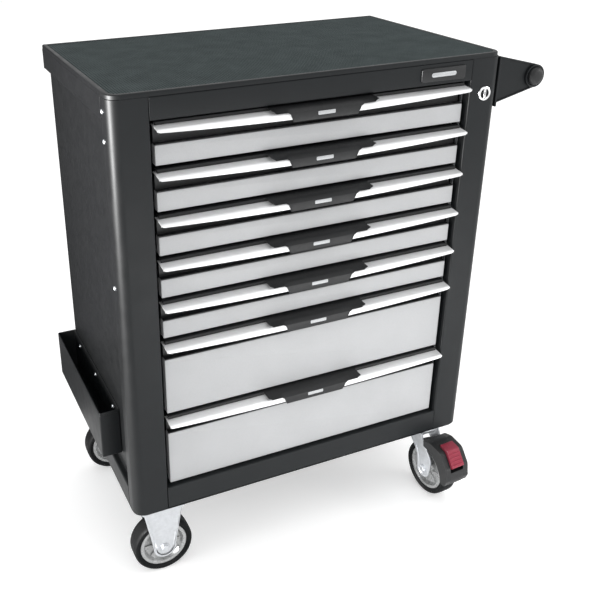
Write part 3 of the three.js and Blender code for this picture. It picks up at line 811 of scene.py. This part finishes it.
def build_handle():
    """Push bar with a moulded sleeve, held by a tapered bracket at each end."""
    (bx0, bx1), (by0, by1), (bz0, bz1) = extent("push_bar")
    bar_x, bar_z, radius = (bx0 + bx1) / 2, (bz0 + bz1) / 2, (bx1 - bx0) / 2
    bar = Solid()
    end = [(0, 0), (9, 0.2), (13, 1.0), (15.8, 2.8), (17.1, 5.2), (radius, 8)]
    grooves = []
    for y in (34, 38, 42):
        grooves += [(radius, y - 1.2), (radius - 0.8, y - 0.6)]
        grooves += [(radius - 0.8, y + 0.6), (radius, y + 1.2)]
    length = by1 - by0
    half = end + grooves
    mirrored = [(r, length - y) for r, y in half][::-1]
    bar.turn(half + mirrored, "y", (bar_x, by0, bar_z), steps=40)
    bar.piece("push_bar_sleeve", "cabinet", BLACK, "black_plastic", ["push_bar"])
    bolts = Solid()
    for name, out in (("handle_bracket_front", -1), ("handle_bracket_rear", 1)):
        low, high = extent(name)[2]
        root = WIDTH / 2 + 0.3
        y = BRACKET_Y if out < 0 else DEPTH - BRACKET_Y
        collar = radius + 5
        bracket = Solid()
        web = [(root, low + 2), *arc(bar_x, bar_z, collar - 1, -76, 72, 14), (root, high - 2)]
        bracket.prism(web, "y", y - 3, y + 3)
        rim = thick(rounded([(root, low + 1.5), *arc(bar_x, bar_z, collar - 1.5, -76, 72, 14),
                             (root, high - 1.5)], 0), 3)
        bracket.prism(rim, "y", y - 5, y + 5)
        ring = [(radius + 0.3, -7), (collar - 1, -8), (collar, -7), (collar, 7), (collar - 1, 8),
                (radius + 0.3, 7)]
        bracket.turn(ring, "y", (bar_x, y, bar_z), steps=40)
        flange = sorted((y - 3 * out, y + 18 * out))
        bracket.box((root, root + 4), flange, (low, high))
        if out > 0:
            bracket.box((root - SIDE_RECESS, root + 4), flange, (low, TOP - TOP_RAIL - 2))
        bracket.piece(name + "_casting", "cabinet", CHARCOAL, "charcoal_paint", [name], bevel=0.8,
                      segments=3)
        for z in (high - 14, (high + low) / 2, low + 14):
            pan_head(bolts, (root + 4, y + 10.5 * out, z), "x", 1, 4.5, 2.6)
    bolts.piece("handle_bolts", "cabinet", ZINC, "zinc_steel")


def build_tray():
    """Open side tray: a welded sheet box with a hemmed rim, screwed to the side panel."""
    x, y, z = extent("side_tray")
    tray = Solid()

    def outline(inset):
        sides = (x[0] + inset, x[1] - inset)
        return rectangle(sides, (y[0] + inset, y[1] - inset), max(3 - inset, 1.2))

    inside = 1.5
    levels = [(z[0], 1.2), (z[0] + 1.6, 0.15), (z[0] + 2.4, 0), (z[1] - 7, 0), (z[1] - 6.6, 0.35),
              (z[1] - 6.2, 0), (z[1] - 1, 0), (z[1] - 0.3, 0.3), (z[1], 0.9), (z[1] - 0.3, 1.5),
              (z[1] - 1, inside + 0.2), (z[0] + 3.5, inside + 0.2), (z[0] + 1.6, inside + 1.5)]
    tray.pillow(outline, "z", levels)
    tray.piece("side_tray_box", "cabinet", CHARCOAL, "charcoal_paint", ["side_tray"])
    screws = Solid()
    for place in (y[0] + 45, (y[0] + y[1]) / 2, y[1] - 45):
        pan_head(screws, (x[1] - inside - 0.4, place, z[1] - 22), "x", -1, 4.5, 2.4)
    screws.piece("side_tray_screws", "cabinet", ZINC, "zinc_steel")


# ---------------------------------------------------------------- casters
WHEEL_RADIUS = 62.5
AXLE_DROP = BASE_BOTTOM - WHEEL_RADIUS
TRAIL = 44
LEG_INSIDE, LEG_OUTSIDE = 22.5, 25.2
YOKE_HALF = 26
FIXED_FOOT, SWIVEL_FOOT = 24, 20


def wheel(place, name, body):
    """Rubber tyre on a grey wheel centre with a dished web, hub and bearing covers."""
    tyre = Solid(place)
    side = [(49.9, 15.4), (50.6, 17.4), (53, 18.6), (54, 18.3), (55, 19.2), (57.4, 19.9),
            (60.2, 18.7), (61.9, 15.6), (62.4, 11), (WHEEL_RADIUS, 4)]
    profile = [(r, -h) for r, h in side] + side[::-1]
    tyre.turn(profile, "y", steps=72)
    tyre.piece(name + "_tread", body, TYRE, "tyre_rubber", [name + "_tyre"])
    centre = Solid(place)
    side = [(6.3, 20.4), (7.2, 21), (11.6, 21), (13, 20), (13.9, 14), (15.8, 9.6), (19, 7.6), (25, 7),
            (34, 7), (38, 8.2), (40.4, 11.4), (41.8, 15.6), (43.2, 17), (48, 17), (49.6, 16)]
    profile = [(r, -h) for r, h in side] + side[::-1]
    centre.turn(profile, "y", steps=72)
    ribs = 8
    for i in range(ribs):
        turn = Matrix.Rotation(math.tau * i / ribs, 4, "Y")
        centre.place = place @ turn
        for out in (-1, 1):
            outline = [(12.5, -1.6), (40, -1.2), (40, 1.2), (12.5, 1.6)]
            centre.prism(outline, "y", *sorted((6.5 * out, 10 * out)))
    centre.piece(name + "_centre", body, WHEEL, "wheel_grey", [name + "_rim"])
    cover = Solid(place)
    for out in (-1, 1):
        seal = [(6.4, 20.9), (6.8, 21.6), (10.6, 21.6), (11, 20.9)]
        cover.turn([(r, h * out) for r, h in seal], "y", steps=32)
    cover.piece(name + "_bearing_seals", body, BLACK, "black_plastic")


def axle(solid, x):
    """Axle bolt through both legs: a head on one side and a nut on the other."""
    at = Vector((x, 0, -AXLE_DROP))
    solid.turn([(0, -26), (6, -26), (6, 26), (0, 26)], "y", at, steps=24)
    for out in (-1, 1):
        hex_head(solid, at + Vector((0, LEG_OUTSIDE * out, 0)), "y", out, 8.2, 5)


def leg_outline(top, ends, axle_x, foot, inset=0.0):
    """Side of a caster leg: a wide shoulder that narrows to a round foot at the axle."""
    waist, waist_z = foot + 5 - inset, -AXLE_DROP + 34
    lean, foot = axle_x / 4, foot - inset
    left = [(ends[0] + inset, top), (ends[0] + 5 + inset, top - 14), (axle_x - waist, waist_z)]
    right = [(axle_x + waist, waist_z), (ends[1] - 5 + lean - inset, top - 14)]
    right.append((ends[1] - inset, top))
    left = rounded([*left, (axle_x - foot, -AXLE_DROP + 4)], [9, 40], steps=5)
    right = rounded([(axle_x + foot, -AXLE_DROP + 4), *right], [40, 9], steps=5)
    return [*left, *arc(axle_x, -AXLE_DROP, foot, 170, 370, 18), *right]


def caster_legs(solid, top, ends, axle_x, foot):
    """Two pressed legs with a sunk field inside a raised border."""
    levels = [(LEG_INSIDE, 0, 0), (LEG_OUTSIDE, 0, 0), (LEG_OUTSIDE + 0.8, 0.8, 0),
              (LEG_OUTSIDE + 0.8, 5, 5), (LEG_OUTSIDE - 0.4, 6.5, 6.5)]
    for out in (-1, 1):
        rings = []
        for y, inset, down in levels:
            outline = leg_outline(top - down, ends, axle_x, foot, inset)
            rings.append([(u, y * out, v) for u, v in outline])
        solid.loft(rings)


def plate_bolts(solid, half_x, half_y, z):
    """Four bolts under a caster's plate."""
    for x in (-half_x, half_x):
        for y in (-half_y, half_y):
            hex_head(solid, (x, y, z), "z", -1, 6.2, 4.6)


def build_fixed_caster(side):
    """Left caster: a pressed bracket whose legs hold the wheel under the plate."""
    name = f"{side}_left_caster"
    (x0, x1), (y0, y1), _ = extent(name + "_bracket")
    place = CABINET @ Matrix.Translation(((x0 + x1) / 2, (y0 + y1) / 2, BASE_BOTTOM))
    bracket = Solid(place)
    plate = rectangle((-46, 46), (-34, 34), 6)
    bracket.prism(plate, "z", -3.5, -0.3)
    caster_legs(bracket, -3, (-44, 44), 0, FIXED_FOOT)
    bracket.piece(name + "_horn", "cabinet", ZINC, "zinc_steel", [name + "_bracket"], bevel=0.6)
    bolts = Solid(place)
    axle(bolts, 0)
    plate_bolts(bolts, 36, 27, -3.5)
    bolts.piece(name + "_bolts", "cabinet", ZINC, "zinc_steel", sharp=30)
    wheel(place @ Matrix.Translation((0, 0, -AXLE_DROP)), name, f"{side}_left_wheel")


# Side outlines of the brake, as (X, Z) points from the axle.
HOUSING = [(-2, 79.5), (20, 86), (56, 81), (79, 51), (84, 22), (78, 7), (64.6, 7)]
HOUSING_BENDS = [2, 14, 14, 18, 9, 4, 1]
SKIN = [(34, 84), (35, 75), (50, 64.5), (62, 50), (66, 40), (80.9, 40), (84, 22), (78, 7), (64.6, 7)]
PEDAL = [(37, 89), (60, 86), (84, 54), (79, 49), (57, 77), (38, 81)]
HOUSING_HALF, PEDAL_HALF = 31, 16.5


def brake(place, side, fork_body):
    """Black brake housing over the wheel's trailing side, and the red pedal in its pocket."""
    name = f"{side}_right_caster"
    inner = arc(0, 0, 65, 6.5, 90, 12)
    cheek = [*rounded([inner[-1], *HOUSING, inner[0]], HOUSING_BENDS, steps=5), *inner[1:-1]]
    housing = Solid(place)
    for out in (-1, 1):
        housing.prism(cheek, "y", *sorted(((PEDAL_HALF + 1) * out, HOUSING_HALF * out)))
    skin = [*HOUSING[:2], *SKIN, *inner]
    housing.prism(skin, "y", -PEDAL_HALF - 1.1, PEDAL_HALF + 1.1)
    housing.piece(name + "_brake_shell", fork_body, BLACK, "black_plastic", [name + "_brake_housing"],
                  bevel=1.8, segments=3, sharp=40)
    pedal = Solid(place)
    blade = rounded(PEDAL, [1.5, 9, 3, 1.5, 9, 1.5], closed=True, steps=4)
    pedal.prism(blade, "y", -PEDAL_HALF, PEDAL_HALF)
    start, end = Vector(PEDAL[1]), Vector(PEDAL[2])
    along = (end - start).normalized()
    down = Vector((along.y, -along.x)) * 0.9
    for t in (0.25, 0.45, 0.65, 0.85):
        at = start + (end - start) * t
        bar = [at - along * 1.4, at + along * 1.4, at + along - down, at - along - down]
        pedal.prism(bar, "y", -PEDAL_HALF + 3, PEDAL_HALF - 3)
    pedal.piece(name + "_pedal", f"{side}_right_pedal", RED, "red_plastic", [name + "_brake_pedal"],
                bevel=1.2, segments=3, sharp=40)


def build_swivel_caster(side):
    """Right caster: a plate with a ball race, a fork that trails, and its wheel and brake."""
    name = f"{side}_right_caster"
    (x0, x1), (y0, y1), _ = extent(name + "_top_plate")
    mount = CABINET @ Matrix.Translation(((x0 + x1) / 2, (y0 + y1) / 2, BASE_BOTTOM))
    plate = Solid(mount)
    plate.prism(rectangle((-46, 46), (-40, 40), 6), "z", -3.5, -0.3)
    plate.turn([(0, -3), (32, -3), (32, -5.5), (31, -8.6), (28.6, -11.6), (26.8, -13.4), (25.5, -14),
                (0, -14)], "z", steps=56)
    plate.piece(name + "_plate", "cabinet", ZINC, "zinc_steel", [name + "_top_plate"], bevel=0.6)
    bolts = Solid(mount)
    plate_bolts(bolts, 37, 31, -3.5)
    bolts.piece(name + "_plate_bolts", "cabinet", ZINC, "zinc_steel", sharp=30)
    spin = next(j for j in frame["joints"] if j["name"] == f"{side}_right_wheel_spin")
    heading = math.atan2(-spin["axis"][0], spin["axis"][1])
    place = mount @ Matrix.Rotation(heading, 4, "Z")
    body = f"{side}_right_fork"
    fork = Solid(place)
    fork.turn([(0, -14.5), (26.8, -14.5), (29.4, -15.6), (30.8, -18), (31, -20), (30, -23.4), (28, -24),
               (0, -24)], "z", steps=56)
    fork.prism(rectangle((-24, 28), (-YOKE_HALF, YOKE_HALF), 4), "z", -24, -19)
    caster_legs(fork, -19, (-24, 28), TRAIL, SWIVEL_FOOT)
    fork.piece(name + "_yoke", body, ZINC, "zinc_steel", [name + "_fork"], bevel=0.6)
    bolts = Solid(place)
    axle(bolts, TRAIL)
    hex_head(bolts, (0, 0, -24), "z", -1, 7.0, 4.0)
    bolts.piece(name + "_axle", body, ZINC, "zinc_steel", sharp=30)
    hub = place @ Matrix.Translation((TRAIL, 0, -AXLE_DROP))
    wheel(hub, name, f"{side}_right_wheel")
    brake(hub, side, body)


build_cover()
build_mat()
build_posts()
build_beams()
build_sides()
build_base_and_back()
build_badge()
build_drawers()
build_racks()
build_lock()
build_handle()
build_tray()
for end in ("front", "rear"):
    build_fixed_caster(end)
    build_swivel_caster(end)


# ---------------------------------------------------------------- studio
def studio_surface(name, colour, roughness):
    f = Finish(name, colour, roughness)
    f.tint(f.noise(0.6), 0.995, 1.005)
    return f.made()


FLOOR_GLOW = 0.35
FLOOR_HALF = 8


def build_floor():
    """Pale floor that glows a little, so that it renders close to white."""
    mesh = bpy.data.meshes.new("floor")
    near, far = -FLOOR_HALF, FLOOR_HALF
    corners = [(near, near, 0), (far, near, 0), (far, far, 0), (near, far, 0)]
    mesh.from_pydata(corners, [], [(0, 1, 2, 3)])
    surface = studio_surface("pale_floor", (0.85, 0.85, 0.85), 0.7)
    shader = surface.node_tree.nodes["Principled BSDF"]
    shader.inputs["Emission Color"].default_value = (1, 1, 1, 1)
    shader.inputs["Emission Strength"].default_value = FLOOR_GLOW
    mesh.materials.append(surface)
    floor = bpy.data.objects.new("floor", mesh)
    bpy.context.scene.collection.objects.link(floor)


def area_light(name, position, aim, size, power):
    data = bpy.data.lights.new(name, "AREA")
    data.shape = "RECTANGLE"
    data.size, data.size_y = size
    data.energy = power
    light = bpy.data.objects.new(name, data)
    light.location = position
    light.rotation_euler = (Vector(aim) - Vector(position)).to_track_quat("-Z", "Y").to_euler()
    light.visible_camera = False
    bpy.context.scene.collection.objects.link(light)
    return light


def reflection_flag(name, x, y, z, tone):
    """Upright card behind the left side. It blocks light and shows in reflections."""
    mesh = bpy.data.meshes.new(name)
    corners = [(x[0], y, z[0]), (x[1], y, z[0]), (x[1], y, z[1]), (x[0], y, z[1])]
    mesh.from_pydata(corners, [], [(0, 1, 2, 3)])
    mesh.materials.append(studio_surface(name, (tone, tone, tone * 1.15), 0.9))
    flag = bpy.data.objects.new(name, mesh)
    bpy.context.scene.collection.objects.link(flag)
    flag.visible_camera = flag.visible_diffuse = False


def build_lights():
    world = bpy.data.worlds.new("studio")
    world.use_nodes = True
    world.node_tree.nodes["Background"].inputs["Color"].default_value = (1, 1, 1, 1)
    world.node_tree.nodes["Background"].inputs["Strength"].default_value = 1.0
    bpy.context.scene.world = world
    area_light("overhead", (0.2, -0.2, 2.8), (0, 0, 0.4), (2.4, 2.0), 10)
    corner = area_light("corner_box", (-1.9, -0.35, 0.85), (-0.42, -0.25, 0.85), (0.3, 0.8), 230)
    corner.visible_diffuse = False
    area_light("right_box", (2.2, -1.2, 1.5), (0.1, -0.2, 0.9), (1.0, 0.8), 14)
    area_light("low_front", (0.3, -1.2, 0.16), (0.1, -0.2, 0.25), (1.4, 0.25), 5.5)
    reflection_flag("dark_flag", (-0.50, -0.42), 0.40, (0.0, 1.1), 0.01)
    reflection_flag("low_flag", (-2.2, -0.50), 0.41, (0.0, 0.24), 0.01)
    reflection_flag("grey_flag", (-2.2, -0.50), 0.42, (0.24, 1.1), 0.16)
    bpy.context.scene.view_settings.view_transform = "Standard"


CAMERA_AZIMUTH = -23.106
CAMERA_ELEVATION = 24.880
CAMERA_ROLL = -0.694
CAMERA_DISTANCE = 1.7042
CAMERA_AIM = (-117.75, 166.27, 618.0)
CAMERA_LENS = 50.841
CAMERA_SHIFT = (0.1264, -0.076)


def build_camera():
    """Camera at the photographed angle: from the front left, looking down."""
    a, e, roll = (math.radians(v) for v in (CAMERA_AZIMUTH, CAMERA_ELEVATION, CAMERA_ROLL))
    back = Vector((math.sin(a) * math.cos(e), -math.cos(a) * math.cos(e), math.sin(e)))
    level = (-back).cross(Vector((0, 0, 1))).normalized()
    upright = level.cross(-back)
    right = level * math.cos(roll) + upright * math.sin(roll)
    up = upright * math.cos(roll) - level * math.sin(roll)
    data = bpy.data.cameras.new("camera")
    data.lens = CAMERA_LENS
    data.shift_x, data.shift_y = CAMERA_SHIFT
    camera = bpy.data.objects.new("camera", data)
    turn = Matrix((right, up, back)).transposed().to_4x4()
    place = CABINET @ Vector(CAMERA_AIM) + back * CAMERA_DISTANCE
    camera.matrix_world = Matrix.Translation(place) @ turn
    bpy.context.scene.collection.objects.link(camera)
    bpy.context.scene.camera = camera


build_floor()
build_lights()
build_camera()
